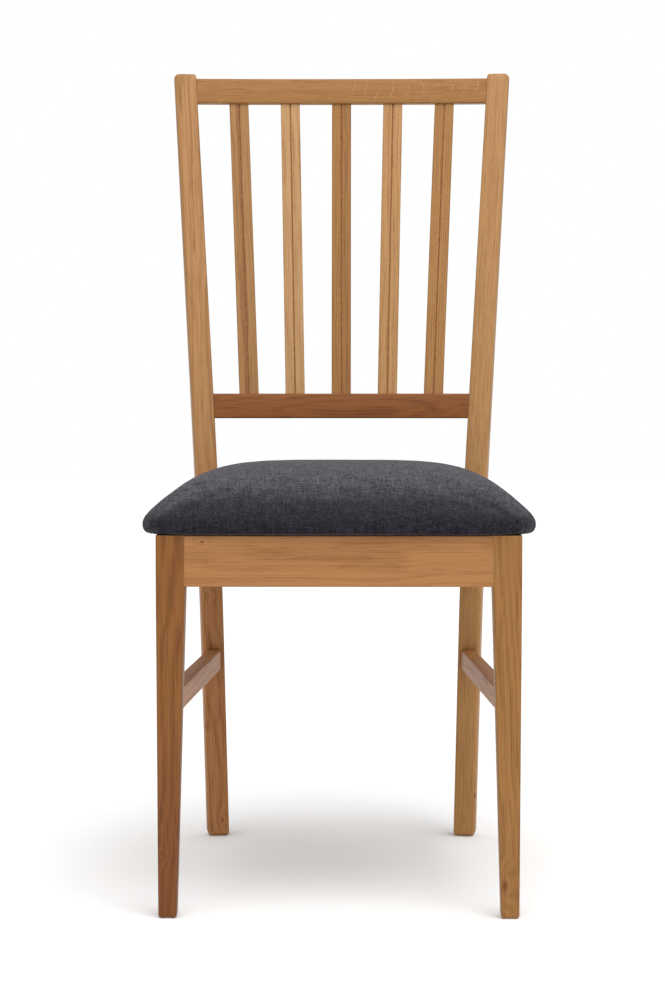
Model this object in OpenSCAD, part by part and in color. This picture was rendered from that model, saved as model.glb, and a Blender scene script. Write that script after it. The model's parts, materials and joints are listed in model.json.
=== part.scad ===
// Dining chair: solid oak frame, slatted back and an upholstered seat pad.
// Millimetres, +Z up. The sitter faces -Y. The origin is on the floor, in the middle of the
// chair's outline. Shapes are drawn with y = 0 on the front face of the front legs, and
// in_chair() then moves them so that the origin is in the middle.

/* [Overall] */
// Height to the top of the rear posts
total_h = 960; // [860:5:1160]
// Width over the front legs
front_w = 388; // [320:1:470]
// Width over the rear legs at the seat frame
rear_w = 353; // [295:1:430]
// From the front of the front legs to the front of the rear legs
frame_depth = 398; // [330:1:480]
// Floor to the top of the seat frame
frame_top = 409; // [340:1:490]

/* [Front legs] */
// Width of a front leg beside the seat frame
front_leg_w = 31; // [26:0.5:40]
// Depth of a front leg beside the seat frame
front_leg_d = 32; // [26:0.5:40]
// Width of a front foot
front_foot_w = 19.5; // [16:0.5:26]
// Depth of a front foot
front_foot_d = 21; // [16:0.5:28]
// How far the outer face comes in by the floor
front_leg_outer_taper = 1.5; // [0:0.1:5]
// Edge radius of a front leg
front_leg_edge_r = 2.5; // [1:0.5:5]

/* [Rear legs] */
// Thickness of the board that a rear leg is cut from
rear_leg_w = 27; // [20:0.5:34]
// Depth of a rear foot
rear_foot_d = 25; // [18:0.5:32]
// Depth of a rear leg beside the seat frame
rear_leg_d = 35; // [28:0.5:44]
// Depth of a post at its top
post_top_d = 23; // [18:0.5:30]
// Angle of the post above the seat, leaning back
post_recline = 9; // [4:0.5:14]
// Angle of the leg below the seat, leaning back towards the floor
rear_leg_lean = 9.3; // [4:0.1:13]
// Radius of the two bends beside the seat frame
bend_r = 500; // [300:10:700]
// Turn of each rear leg towards the middle of the back
leg_yaw = 8.3; // [0:0.1:12]
// Outward splay of each rear leg
leg_splay = 2.2; // [0:0.1:4]
// Radius of the outer edges of a rear leg
rear_outer_r = 5; // [1:0.5:8]
// Radius of the inner edges of a rear leg
rear_inner_r = 2.5; // [1:0.5:5]

/* [Seat frame] */
// Height of the seat rails
rail_h = 54.5; // [45:0.5:70]
// Thickness of the front rail
front_rail_t = 21; // [16:0.5:26]
// How far the front rail stands back from the legs
front_rail_inset = 1; // [0:0.5:6]
// Thickness of the side rails
side_rail_t = 20; // [16:0.5:24]
// Thickness of the rear rail
rear_rail_t = 20; // [16:0.5:24]
// How far the rear rail stands back from the inner edge of the rear legs
rear_rail_inset = 3; // [1:0.5:8]
// Edge radius of the seat rails
rail_edge_r = 1.5; // [0.5:0.5:3]
// Height of a corner block
block_h = 28; // [20:1:40]
// Length of a corner block along the rails
block_leg = 58; // [45:1:75]

/* [Stretchers] */
// Height of the stretchers' top edge above the floor
stretcher_top = 241; // [160:1:300]
// Height of a stretcher
stretcher_h = 25; // [18:0.5:34]
// Thickness of a stretcher
stretcher_t = 18; // [14:0.5:20]
// Edge radius of a stretcher
stretcher_edge_r = 2.5; // [1:0.5:5]

/* [Back] */
// Height of the top rail
top_rail_h = 32; // [26:0.5:44]
// How far the post tops stand above the top rail
post_above_rail = 5.5; // [2:0.5:20]
// Height of the lower rail
lower_rail_h = 31; // [24:0.5:40]
// Gap between the seat frame and the lower rail, along the post
lower_rail_gap = 120.5; // [90:0.5:180]
// Thickness of the back rails
back_rail_t = 18; // [14:0.5:22]
// How far the back rails stand behind the posts' inner edge
back_rail_inset = 2; // [0.5:0.5:6]
// Bow of the back rails, backwards in the middle
back_bow = 5; // [2:0.5:14]
// Edge radius of the back rails
back_edge_r = 2.5; // [1:0.5:5]
// Width of a slat
slat_w = 24; // [16:0.5:30]
// Thickness of a slat
slat_t = 10; // [8:0.5:12]
// How far a slat stands behind the front of the rails
slat_inset = 3.5; // [1:0.5:5]
// Edge radius of a slat
slat_edge_r = 1.5; // [0.5:0.5:3]
// Width of the groove down the front of a slat
groove_w = 2; // [1:0.1:4]
// Depth of that groove
groove_d = 2; // [0.5:0.1:4]

/* [Seat pad] */
// How far the pad stands out past the legs at each side
pad_side_over = 20.5; // [6:0.5:28]
// How far the pad stands out in front of the legs
pad_front_over = 4.5; // [2:0.5:20]
// Forward bow of the pad's front edge
pad_front_bow = 6; // [0:0.5:20]
// How far the pad reaches behind the front of the rear legs, between them
pad_rear_over = 18; // [5:0.5:20]
// How far the pad's sides pull in between its corners
pad_side_pull = 5; // [1:0.5:8]
// Backward bow of the pad's rear edge
pad_rear_bow = 3; // [1:0.5:6]
// Corner radius at the front of the pad
pad_front_r = 40; // [20:1:60]
// Corner radius at the rear of the pad, which clears the posts
pad_rear_r = 108; // [90:1:140]
// Height of the pad's widest line above the board's underside
pad_edge_h = 13; // [10:1:30]
// Rise of the rounded upper edge
pad_shoulder = 28; // [12:1:40]
// Rise of the crown above the shoulder
pad_crown = 31; // [10:1:45]
// Thickness of the cover
cover_t = 1.2; // [0.8:0.1:2]
// Thickness of the plywood board
board_t = 12; // [9:0.5:18]
// How far the board stands in from the pad's outline
board_inset = 17; // [12:1:30]
// How far the cover is folded under the board
cover_lap = 42; // [30:1:60]
// Thickness of the dust cover
dust_cover_t = 0.5; // [0.3:0.1:1]
// Number of staples along each edge of the pad
staples_per_side = 5; // [3:1:9]

/* [Joints and fasteners] */
// Glue line round each tenon and housed end
glue_gap = 0.1; // [0.05:0.01:0.3]
// Depth that a member's full section is let into a leg
housing = 3; // [1.5:0.5:5]
// Length of a tenon past the housing
tenon_l = 9; // [6:0.5:12]
// Diameter of a dowel
dowel_d = 8; // [6:0.5:10]
// Length of a dowel inside a rail
dowel_in_rail = 20; // [14:1:30]
// Length of a dowel inside a leg
dowel_in_leg = 10; // [8:0.5:13]
// Diameter of the screws
screw_d = 4; // [3:0.5:5]
// Diameter of the screw heads
screw_head_d = 8; // [6:0.5:10]
// Gap between the seat frame and the pad's cover
pad_gap = 0.1; // [0.05:0.05:0.5]
// Radial clearance round a screw
screw_gap = 0.2; // [0.1:0.05:0.5]
// Diameter of a foot glide
glide_d = 14; // [10:0.5:16]
// Height of a foot glide below the leg
glide_h = 1; // [1:0.5:4]

/* [Hidden] */
slat_count = 5;
$fn = 48;
small_fn = 24; // for radii of a few millimetres
arc_fn = 720; // for the bowed rails
far = 400; // larger than any cut needs

// Colours
oak = "#B2865A";
oak_dark = "#8A5A38";
oak_pale = "#C49A6C";
birch = "#D9BE93";
foam_colour = "#E6DEB8";
fabric = "#46454C";
felt = "#2A2A2C";
steel = "#B9BCC0";
nylon = "#E8E6DF";

// Rear leg: its front face is upright beside the seat frame and bends back above and below
flat_margin = 6;
flat_hi = frame_top + flat_margin;
flat_lo = frame_top - rail_h - flat_margin;
straight_hi = flat_hi + bend_r * sin(post_recline);
straight_lo = flat_lo - bend_r * sin(rear_leg_lean);

function lerp(a, b, t) = a + (b - a) * t;

// How far a face has moved back, h past the start of a bend to the given angle
function bent(h, angle) =
    h < bend_r * sin(angle)
        ? bend_r - sqrt(bend_r * bend_r - h * h)
        : bend_r * (1 - cos(angle)) + (h - bend_r * sin(angle)) * tan(angle);

function leg_front_y(z) =
    frame_depth + (z > flat_hi ? bent(z - flat_hi, post_recline)
                 : z < flat_lo ? bent(flat_lo - z, rear_leg_lean) : 0);

function leg_depth(z) =
    z > flat_hi ? lerp(rear_leg_d, post_top_d, (z - flat_hi) / (total_h - flat_hi))
  : z < flat_lo ? lerp(rear_foot_d, rear_leg_d, (z - glide_h) / (flat_lo - glide_h))
  : rear_leg_d;

// x of a rear leg's outer front edge, and of its inner front edge
function leg_outer_x(z) =
    rear_w / 2 + (z - frame_top) * tan(leg_splay) + (leg_front_y(z) - frame_depth) * tan(leg_yaw);
function leg_inner_x(z) = leg_outer_x(z) - rear_leg_w * cos(leg_yaw);

// The pad's outline, seen from above
pad_front_y = -pad_front_over;
pad_rear_y = frame_depth + pad_rear_over - pad_rear_bow;
pad_len = pad_rear_y - pad_front_y;
pad_front_half = front_w / 2 + pad_side_over;
pad_rear_half = pad_front_half - (front_w - rear_w) / 2 - rear_leg_w * sin(leg_yaw);
pad_mid_y = (pad_front_y + pad_rear_y) / 2;
pad_base_z = frame_top + pad_gap;
board_z = pad_base_z + cover_t;
pad_widest_z = board_z + pad_edge_h;

// Members that run from a front leg to a rear leg: their ends on the legs' faces
rail_mid_z = frame_top - rail_h / 2;
stretcher_mid_z = stretcher_top - stretcher_h / 2;
taper_drop = 3; // from the underside of the rails to where a front leg starts to taper
front_taper_z = frame_top - rail_h - taper_drop;

function front_share(z) = z > front_taper_z ? 1 : (z - glide_h) / (front_taper_z - glide_h);
function front_w_at(z) = lerp(front_foot_w, front_leg_w, front_share(z));
function front_d_at(z) = lerp(front_foot_d, front_leg_d, front_share(z));
function front_outer_x(z) = front_w / 2 - front_leg_outer_taper * (1 - front_share(z));
function side_start(z) = [front_outer_x(z) - front_w_at(z) / 2, front_d_at(z)];
function side_end(z) = [
    leg_outer_x(z) - rear_leg_w / 2 * cos(leg_yaw),
    leg_front_y(z) + rear_leg_w / 2 * sin(leg_yaw)
];
function side_angle(z) =
    atan((side_start(z)[0] - side_end(z)[0]) / (side_end(z)[1] - side_start(z)[1]));
function side_length(z) = norm(side_end(z) - side_start(z));

// Back rails and slats lie in the plane of the posts' front faces
back_len = (total_h - straight_hi) / cos(post_recline);
top_rail_z = back_len - post_above_rail - top_rail_h;
lower_rail_z = lower_rail_gap - (straight_hi - frame_top) / cos(post_recline);
rail_end_y = rear_leg_w * sin(leg_yaw) + back_rail_inset;

function back_half(z) = leg_inner_x(straight_hi + z * cos(post_recline)) + back_rail_t / 2 * sin(leg_yaw);
function bow_radius(half) = (half * half + back_bow * back_bow) / (2 * back_bow);
function bow_y(x, half) =
    rail_end_y + back_bow - bow_radius(half) + sqrt(pow(bow_radius(half), 2) - x * x);

slat_z0 = lower_rail_z + lower_rail_h;
slat_z1 = top_rail_z;
lower_half = back_half(lower_rail_z + lower_rail_h / 2);
top_half = back_half(top_rail_z + top_rail_h / 2);
function slat_x(i, z) = (2 * back_half(z) + slat_w) / (slat_count + 1) * (i - (slat_count + 1) / 2);
function slat_foot(i) = [slat_x(i, slat_z0), bow_y(slat_x(i, slat_z0), lower_half), slat_z0];
function slat_head(i) = [slat_x(i, slat_z1), bow_y(slat_x(i, slat_z1), top_half), slat_z1];

// The chair's outline, whose middle is the origin. Its rear is a post top or the top rail.
post_edge_z = total_h - rear_outer_r;
post_rear_y = leg_front_y(post_edge_z) + leg_depth(post_edge_z) * cos(leg_yaw) + rear_leg_w * sin(leg_yaw);
rail_edge_y = rail_end_y + back_bow + back_rail_t - back_edge_r;
rail_edge_z = top_rail_z + top_rail_h - back_edge_r;
rail_rear_y = leg_front_y(straight_hi) + rail_edge_y * cos(post_recline)
            + rail_edge_z * sin(post_recline) + back_edge_r;
outline_front_y = pad_front_y - pad_front_bow;
outline_rear_y = max(post_rear_y, rail_rear_y);
outline_mid_y = (outline_front_y + outline_rear_y) / 2;

// ---- Helpers ----

module in_chair() translate([0, -outline_mid_y, 0]) children();

module both_sides(side) {
    if (side > 0) children();
    else mirror([1, 0, 0]) children();
}

module in_back()
    translate([0, leg_front_y(straight_hi), straight_hi]) multmatrix([
        [1, 0, 0, 0],
        [0, cos(post_recline), sin(post_recline), 0],
        [0, 0, cos(post_recline), 0]
    ]) children();

module rounded_rect(w, h, r) {
    translate([r, 0]) square([w - 2 * r, h]);
    translate([0, r]) square([w, h - 2 * r]);
    for (x = [r, w - r], y = [r, h - r]) translate([x, y]) circle(r);
}

// A bar along +Y from y0 to y1, centred on x, standing on z = 0
module bar(w, h, r, y0, y1, grow = 0)
    translate([-w / 2 - grow, y1, -grow]) rotate([90, 0, 0])
        linear_extrude(y1 - y0) rounded_rect(w + 2 * grow, h + 2 * grow, r);

corner_steps = 4;

// Points of one rounded corner, counter-clockwise from the angle a0
function corner(c, r, a0) = [
    for (k = [0:corner_steps]) c + r * [cos(a0 + 90 * k / corner_steps), sin(a0 + 90 * k / corner_steps)]
];

// A rounded rectangle from lo to hi, with one radius for each corner:
// [low x low y, high x low y, high x high y, low x high y]
function section(lo, hi, r) = concat(
    corner([lo[0] + r[0], lo[1] + r[0]], r[0], 180),
    corner([hi[0] - r[1], lo[1] + r[1]], r[1], 270),
    corner([hi[0] - r[2], hi[1] - r[2]], r[2], 0),
    corner([lo[0] + r[3], hi[1] - r[3]], r[3], 90)
);

// A closed skin over rings that have the same number of points, bottom ring first
module loft(rings) {
    n = len(rings[0]);
    last = len(rings) - 1;
    polyhedron(
        points = [for (ring = rings) each ring],
        faces = concat(
            [[for (i = [0:n - 1]) i]],
            [for (k = [0:last - 1], i = [0:n - 1])
                [k * n + i, (k + 1) * n + i, (k + 1) * n + (i + 1) % n, k * n + (i + 1) % n]],
            [[for (i = [n - 1:-1:0]) last * n + i]]
        )
    );
}

// Heights and insets of the rings that round off an end: [distance from the end, inset share]
end_steps = 3;
function end_rings(r) = [
    for (k = [0:end_steps]) [r * (1 - cos(90 * k / end_steps)), 1 - sin(90 * k / end_steps)]
];

// ---- Legs ----

foot_round = 3;
foot_share = 0.7; // how far a rounded foot comes in, as a share of its edge radius

module front_leg_body() {
    foot = [for (e = end_rings(foot_round)) [glide_h + e[0], e[1] * foot_round * foot_share]];
    stations = concat(foot, [[front_taper_z, 0], [frame_top, 0]]);
    loft([for (s = stations)
        let (z = s[0], inset = s[1], x1 = front_outer_x(z), x0 = x1 - front_w_at(z), r = front_leg_edge_r)
        [for (p = section([x0 + inset, inset], [x1 - inset, front_d_at(z) - inset], [r, r, r, r]))
            [p[0], p[1], z]]
    ]);
}

bend_steps = 5;

// One ring of a rear leg. Its corners are inner front, outer front, outer rear, inner rear.
function rear_ring(z, inset) =
    let (
        w = rear_leg_w,
        d = leg_depth(z),
        o = rear_outer_r,
        i = rear_inner_r,
        lo = [-w + inset * i, inset * i],
        hi = [-inset * o, d - inset * i]
    )
    [for (p = section(lo, hi, [i, o, o, i] * (1 - foot_share * inset)))
        [
            leg_outer_x(z) + p[0] * cos(leg_yaw) + p[1] * sin(leg_yaw),
            leg_front_y(z) - p[0] * sin(leg_yaw) + p[1] * cos(leg_yaw),
            z
        ]];

module rear_leg_body() {
    foot = [for (e = end_rings(rear_outer_r)) [glide_h + e[0], e[1]]];
    top = [for (k = [end_steps:-1:0]) let (e = end_rings(rear_outer_r)[k]) [total_h - e[0], e[1]]];
    lower = [for (k = [0:bend_steps]) [lerp(straight_lo, flat_lo, k / bend_steps), 0]];
    upper = [for (k = [0:bend_steps]) [lerp(flat_hi, straight_hi, k / bend_steps), 0]];
    loft([for (s = concat(foot, lower, upper, top)) rear_ring(s[0], s[1])]);
}

module glide_shape(grow = 0) {
    cylinder(d = glide_d, h = glide_h);
    cylinder(d = glide_pin_d + 2 * grow, h = glide_h + glide_pin_l + grow);
}

glide_pin_d = 3;
glide_pin_l = 10;
function front_glide_xy() = [front_outer_x(glide_h) - front_foot_w / 2, front_foot_d / 2];
function rear_glide_xy() = [
    leg_outer_x(glide_h) - rear_leg_w / 2 * cos(leg_yaw) + rear_foot_d / 2 * sin(leg_yaw),
    leg_front_y(glide_h) + rear_leg_w / 2 * sin(leg_yaw) + rear_foot_d / 2 * cos(leg_yaw)
];

module front_leg(side) color(oak) in_chair() both_sides(side) difference() {
    front_leg_body();
    front_rail_shape(glue_gap);
    side_rail_shape(glue_gap);
    stretcher_shape(glue_gap);
    front_dowel_pair(glue_gap);
    side_dowel_set(glue_gap);
    translate(concat(front_glide_xy(), [0])) glide_shape(glue_gap);
}

module rear_leg(side) color(oak) in_chair() both_sides(side) difference() {
    rear_leg_body();
    side_rail_shape(glue_gap);
    stretcher_shape(glue_gap);
    rear_rail_shape(glue_gap);
    rear_dowel_pair(glue_gap);
    side_dowel_set(glue_gap);
    in_back() top_rail_shape(glue_gap);
    in_back() lower_rail_shape(glue_gap);
    translate(concat(rear_glide_xy(), [0])) glide_shape(glue_gap);
}

// ---- Seat frame ----

front_rail_half = front_w / 2 - front_leg_w;
front_housing = 1;

module front_rail_shape(grow = 0)
    translate([0, front_rail_inset + front_rail_t / 2, frame_top - rail_h]) rotate([0, 0, 90])
        bar(front_rail_t, rail_h, rail_edge_r,
            -front_rail_half - front_housing - grow, front_rail_half + front_housing + grow, grow);

rear_rail_front_y = frame_depth + rear_leg_w * sin(leg_yaw) + rear_rail_inset;
rear_rail_mid_y = rear_rail_front_y + rear_rail_t / 2;
rear_rail_half = leg_inner_x(rail_mid_z) + (rear_rail_inset + rear_rail_t / 2) * tan(leg_yaw);

module rear_rail_shape(grow = 0)
    translate([0, rear_rail_mid_y, frame_top - rail_h]) rotate([0, 0, 90])
        bar(rear_rail_t, rail_h, rail_edge_r,
            -rear_rail_half - housing - grow, rear_rail_half + housing + grow, grow);

// Places along a side member's own line at mid height z, from the front leg's rear face
module on_side(z) translate(concat(side_start(z), [0])) rotate([0, 0, side_angle(z)]) children();

module side_rail_shape(grow = 0)
    on_side(rail_mid_z) translate([0, 0, frame_top - rail_h])
        bar(side_rail_t, rail_h, rail_edge_r,
            -front_housing - grow, side_length(rail_mid_z) + housing + grow, grow);

// Dowels: two at each end of each rail, one above the other. The rear rail's pair is further
// apart, so that it clears the side rail's pair inside the rear leg.
dowel_wall = 1;
dowel_spread_share = 0.3; // of the rail's height
dowel_spread = rail_h * dowel_spread_share;
rear_dowel_spread = dowel_spread + 2 * (dowel_d + dowel_wall);
dowel_zs = [rail_mid_z - dowel_spread / 2, rail_mid_z + dowel_spread / 2];
rear_dowel_zs = [rail_mid_z - rear_dowel_spread / 2, rail_mid_z + rear_dowel_spread / 2];

module dowel(from, to, grow)
    translate([0, 0, from - grow]) cylinder(d = dowel_d + 2 * grow, h = to - from + 2 * grow);

module front_dowel_pair(grow = 0) for (z = dowel_zs)
    translate([front_rail_half + front_housing, front_rail_inset + front_rail_t / 2, z]) rotate([0, 90, 0])
        dowel(-dowel_in_rail, dowel_in_leg, grow);

module rear_dowel_pair(grow = 0) for (z = rear_dowel_zs)
    translate([rear_rail_half + housing, rear_rail_mid_y, z]) rotate([0, 90, 0])
        dowel(-dowel_in_rail, dowel_in_leg, grow);

module side_dowel_set(grow = 0) on_side(rail_mid_z) for (z = dowel_zs) {
    translate([0, -front_housing, z]) rotate([-90, 0, 0]) dowel(-dowel_in_leg, dowel_in_rail, grow);
    translate([0, side_length(rail_mid_z) + housing, z]) rotate([-90, 0, 0])
        dowel(-dowel_in_rail, dowel_in_leg, grow);
}

module front_rail() color(oak) in_chair() difference() {
    front_rail_shape();
    for (side = [-1, 1]) both_sides(side) {
        front_dowel_pair(glue_gap);
        front_block_screws(screw_gap);
    }
}

module rear_rail() color(oak) in_chair() difference() {
    rear_rail_shape();
    for (side = [-1, 1]) both_sides(side) {
        rear_dowel_pair(glue_gap);
        rear_block_screws(screw_gap);
    }
}

module side_rail(side) color(oak) in_chair() both_sides(side) difference() {
    side_rail_shape();
    side_dowel_set(glue_gap);
    front_block_screws(screw_gap);
    rear_block_screws(screw_gap);
}

// Corner blocks, let in below the top of the rails and clear of the legs
block_drop = 3;
block_top = frame_top - block_drop;
block_gap = 0.3;
block_face = 14;
inner_front_y = front_rail_inset + front_rail_t;
inner_rear_y = rear_rail_front_y;

// x of a side rail's inner face at y
function side_inner_x(y) =
    side_start(rail_mid_z)[0] - side_rail_t / 2 / cos(side_angle(rail_mid_z))
    - (y - side_start(rail_mid_z)[1]) * tan(side_angle(rail_mid_z));

module front_block_outline() {
    leg_x = front_w / 2 - front_leg_w - block_gap;
    leg_y = front_leg_d + block_gap;
    far_y = leg_y + block_leg - block_face;
    polygon([
        [leg_x - block_leg + block_face, inner_front_y + glue_gap],
        [leg_x, inner_front_y + glue_gap],
        [leg_x, leg_y],
        [side_inner_x(leg_y) - glue_gap, leg_y],
        [side_inner_x(far_y) - glue_gap, far_y],
        [side_inner_x(far_y) - glue_gap - block_face, far_y],
        [leg_x - block_leg + block_face, inner_front_y + glue_gap + block_face]
    ]);
}

module rear_block_outline() {
    leg_x = leg_inner_x(flat_lo) - block_gap;
    leg_y = frame_depth - block_gap;
    far_y = min(leg_y - block_leg + block_face, rear_side_screw_y() - block_screw_end);
    polygon([
        [leg_x - block_leg + block_face, inner_rear_y - glue_gap],
        [leg_x - block_leg + block_face, inner_rear_y - glue_gap - block_face],
        [side_inner_x(far_y) - glue_gap - block_face, far_y],
        [side_inner_x(far_y) - glue_gap, far_y],
        [side_inner_x(leg_y) - glue_gap, leg_y],
        [leg_x, leg_y],
        [leg_x, inner_rear_y - glue_gap]
    ]);
}

// A countersunk screw with its head at z = 0 and its tip down -Z
screw_head_h = 2.6;
drive_d = 3.4;
drive_depth = 1.2;

module screw_shape(length, grow = 0) {
    translate([0, 0, -length - grow]) cylinder(d = screw_d + 2 * grow, h = length + grow);
    translate([0, 0, -screw_head_h])
        cylinder(d1 = screw_d + 2 * grow, d2 = screw_head_d + 2 * grow, h = screw_head_h);
    if (grow > 0) cylinder(d = screw_head_d + 2 * grow, h = far / 4);
}

module screw(length) difference() {
    screw_shape(length);
    translate([0, 0, -drive_depth]) cylinder(d = drive_d, h = 2 * drive_depth, $fn = 6);
}

block_screw_seat = 16; // wood left under the head of a block screw
block_screw_l = 30;
block_screw_x = 32; // from the leg to each block screw
block_screw_z = block_top - block_h / 2;
seat_screw_in_board = 8;
seat_screw_l = block_h + block_drop + pad_gap + cover_t + seat_screw_in_board;
block_screw_end = 12; // from a side screw to the end of its block
screw_spacing = 10; // from a seat screw to the block screw beside it
seat_screw_inset = 11; // from the leg's corner to the seat screw
rear_seat_screw_inset = 22; // further from the rear legs, under the board
seat_screw_edge = 4; // from a rear seat screw to the board's rounded corner

// y of the board's rear edge at x
function board_rear_y(x) =
    let (o = pad_points(inset_share(board_inset)), n = len(o))
    max([for (i = [0:n - 1]) let (a = o[i], b = o[(i + 1) % n])
        if ((a[0] - x) * (b[0] - x) <= 0 && a[0] != b[0])
            lerp(a[1], b[1], (x - a[0]) / (b[0] - a[0]))]);

// The rear seat screws stay under the board, and the block screws stay clear of them
function rear_seat_screw_x() = leg_inner_x(flat_lo) - seat_screw_inset;
function rear_seat_screw_y() =
    min(frame_depth - rear_seat_screw_inset, board_rear_y(rear_seat_screw_x()) - seat_screw_edge);
function rear_side_screw_y() =
    min(frame_depth - block_screw_x, rear_seat_screw_y() - screw_spacing);

// Children at a block screw's head, whose tip points along -Z
module front_block_places() {
    leg_x = front_w / 2 - front_leg_w;
    side_y = front_leg_d + block_screw_x;
    translate([leg_x - block_screw_x, inner_front_y + block_screw_seat, block_screw_z])
        rotate([-90, 0, 0]) children();
    translate([side_inner_x(side_y) - block_screw_seat, side_y, block_screw_z])
        rotate([0, -90, side_angle(rail_mid_z)]) children();
}

module rear_block_places() {
    leg_x = leg_inner_x(flat_lo);
    side_y = rear_side_screw_y();
    translate([leg_x - block_screw_x, inner_rear_y - block_screw_seat, block_screw_z])
        rotate([90, 0, 0]) children();
    translate([side_inner_x(side_y) - block_screw_seat, side_y, block_screw_z])
        rotate([0, -90, side_angle(rail_mid_z)]) children();
}

module front_block_screws(grow) front_block_places() screw_shape(block_screw_l, grow);
module rear_block_screws(grow) rear_block_places() screw_shape(block_screw_l, grow);

// Children at a seat screw's head, whose tip points up into the board
module front_seat_place()
    translate([
        front_w / 2 - front_leg_w - seat_screw_inset,
        front_leg_d + seat_screw_inset,
        block_top - block_h
    ]) rotate([180, 0, 0]) children();

module rear_seat_place()
    translate([
        rear_seat_screw_x(),
        rear_seat_screw_y(),
        block_top - block_h
    ]) rotate([180, 0, 0]) children();

module corner_block_front(side) color(birch) in_chair() both_sides(side) difference() {
    translate([0, 0, block_top - block_h]) linear_extrude(block_h) front_block_outline();
    front_block_screws(screw_gap);
    front_seat_place() screw_shape(seat_screw_l, screw_gap);
}

module corner_block_rear(side) color(birch) in_chair() both_sides(side) difference() {
    translate([0, 0, block_top - block_h]) linear_extrude(block_h) rear_block_outline();
    rear_block_screws(screw_gap);
    rear_seat_place() screw_shape(seat_screw_l, screw_gap);
}

// ---- Stretchers ----

// A tenon's height and thickness as shares of its member's, and its edge radius
tenon_h_share = 0.6;
tenon_t_share = 0.5;
tenon_edge_r = 1;

module stretcher_shape(grow = 0) on_side(stretcher_mid_z) {
    len_y = side_length(stretcher_mid_z);
    translate([0, 0, stretcher_top - stretcher_h])
        bar(stretcher_t, stretcher_h, stretcher_edge_r, -housing - grow, len_y + housing + grow, grow);
    translate([0, 0, stretcher_top - stretcher_h * (1 + tenon_h_share) / 2])
        bar(stretcher_t * tenon_t_share, stretcher_h * tenon_h_share, tenon_edge_r,
            -housing - tenon_l - grow, len_y + housing + tenon_l + grow, grow);
}

module side_stretcher(side) color(oak_dark) in_chair() both_sides(side) stretcher_shape();

// ---- Back ----

// A rail bent on a radius, standing on z = 0, with a tenon at each end
module back_rail_shape(h, half, grow) {
    r = bow_radius(half);
    translate([0, rail_end_y + back_bow - r, 0]) {
        back_rail_arc(r, back_rail_t, h, back_edge_r, half + housing + grow, grow);
        translate([0, 0, h * (1 - tenon_h_share) / 2])
            back_rail_arc(r + back_rail_t * (1 - tenon_t_share) / 2, back_rail_t * tenon_t_share,
                          h * tenon_h_share, tenon_edge_r, half + housing + tenon_l + grow, grow);
    }
}

module back_rail_arc(r, t, h, edge_r, reach, grow) {
    turn = asin(reach / (r + t / 2));
    rotate([0, 0, 90 - turn]) rotate_extrude(angle = 2 * turn, $fn = arc_fn)
        translate([r - grow, -grow]) rounded_rect(t + 2 * grow, h + 2 * grow, edge_r, $fn = small_fn);
}

module top_rail_shape(grow = 0)
    translate([0, 0, top_rail_z]) back_rail_shape(top_rail_h, top_half, grow);

module lower_rail_shape(grow = 0)
    translate([0, 0, lower_rail_z]) back_rail_shape(lower_rail_h, lower_half, grow);

slat_housing = 4;
slat_tenon_l = 7;
slat_tenon_w_share = 0.7;
slat_tenon_t_share = 0.6;

// Slat i stands between the rails, along its own line, turned to follow their bow
module slat_shape(i, grow = 0, groove = false) {
    foot = slat_foot(i);
    run = slat_head(i) - foot;
    turn = atan(-foot[0] / bow_radius(lower_half));
    translate(foot) multmatrix([
        [1, 0, run[0] / run[2], 0],
        [0, 1, run[1] / run[2], 0],
        [0, 0, 1, 0]
    ]) rotate([0, 0, turn]) translate([0, slat_inset + slat_t / 2, 0]) {
        difference() {
            slat_stick(slat_w, slat_t, slat_edge_r, -slat_housing, run[2] + slat_housing, grow);
            if (groove) translate([-groove_w / 2, -slat_t / 2 - groove_d, -far])
                cube([groove_w, 2 * groove_d, 2 * far + run[2]]);
        }
        slat_stick(slat_w * slat_tenon_w_share, slat_t * slat_tenon_t_share, tenon_edge_r,
                   -slat_housing - slat_tenon_l, run[2] + slat_housing + slat_tenon_l, grow);
    }
}

module slat_stick(w, t, r, z0, z1, grow)
    translate([-w / 2 - grow, -t / 2 - grow, z0 - grow])
        linear_extrude(z1 - z0 + 2 * grow) rounded_rect(w + 2 * grow, t + 2 * grow, r, $fn = small_fn);

module top_rail() color(oak) in_chair() in_back() difference() {
    top_rail_shape();
    for (i = [1:slat_count]) slat_shape(i, glue_gap);
}

module lower_rail() color(oak_dark) in_chair() in_back() difference() {
    lower_rail_shape();
    for (i = [1:slat_count]) slat_shape(i, glue_gap);
}

module slat(i) color(i % 2 == 0 ? oak_pale : oak) in_chair() in_back() slat_shape(i, 0, true);

// ---- Seat pad ----

edge_steps = 6;
function edge(a, b) = [for (k = [1:edge_steps - 1]) lerp(a, b, k / edge_steps)];

// The outline before it narrows to the rear and bows at the front
function pad_box() =
    let (h = pad_front_half, f = pad_front_r, r = pad_rear_r, y0 = pad_front_y, y1 = pad_rear_y)
    concat(
        corner([-h + f, y0 + f], f, 180), edge([-h + f, y0], [h - f, y0]),
        corner([h - f, y0 + f], f, 270), edge([h, y0 + f], [h, y1 - r]),
        corner([h - r, y1 - r], r, 0), edge([h - r, y1], [-h + r, y1]),
        corner([-h + r, y1 - r], r, 90), edge([-h, y1 - r], [-h, y0 + f])
    );

pad_outline = [
    for (p = pad_box())
        let (u = (p[1] - pad_front_y) / pad_len, v = p[0] / pad_front_half)
        [
            p[0] * lerp(1, pad_rear_half / pad_front_half, u) - 4 * pad_side_pull * v * u * (1 - u),
            p[1] - pad_front_bow * (1 - v * v) * pow(1 - u, 2) + pad_rear_bow * (1 - v * v) * pow(u, 2)
        ]
];

// The outline drawn in by an inset, about the pad's middle
function inset_share(inset) = 1 - inset / pad_front_half;
function pad_points(share) = [for (p = pad_outline) [p[0] * share, lerp(pad_mid_y, p[1], share)]];
function pad_ring(share, z) = [for (p = pad_points(share)) [p[0], p[1], z]];

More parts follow.
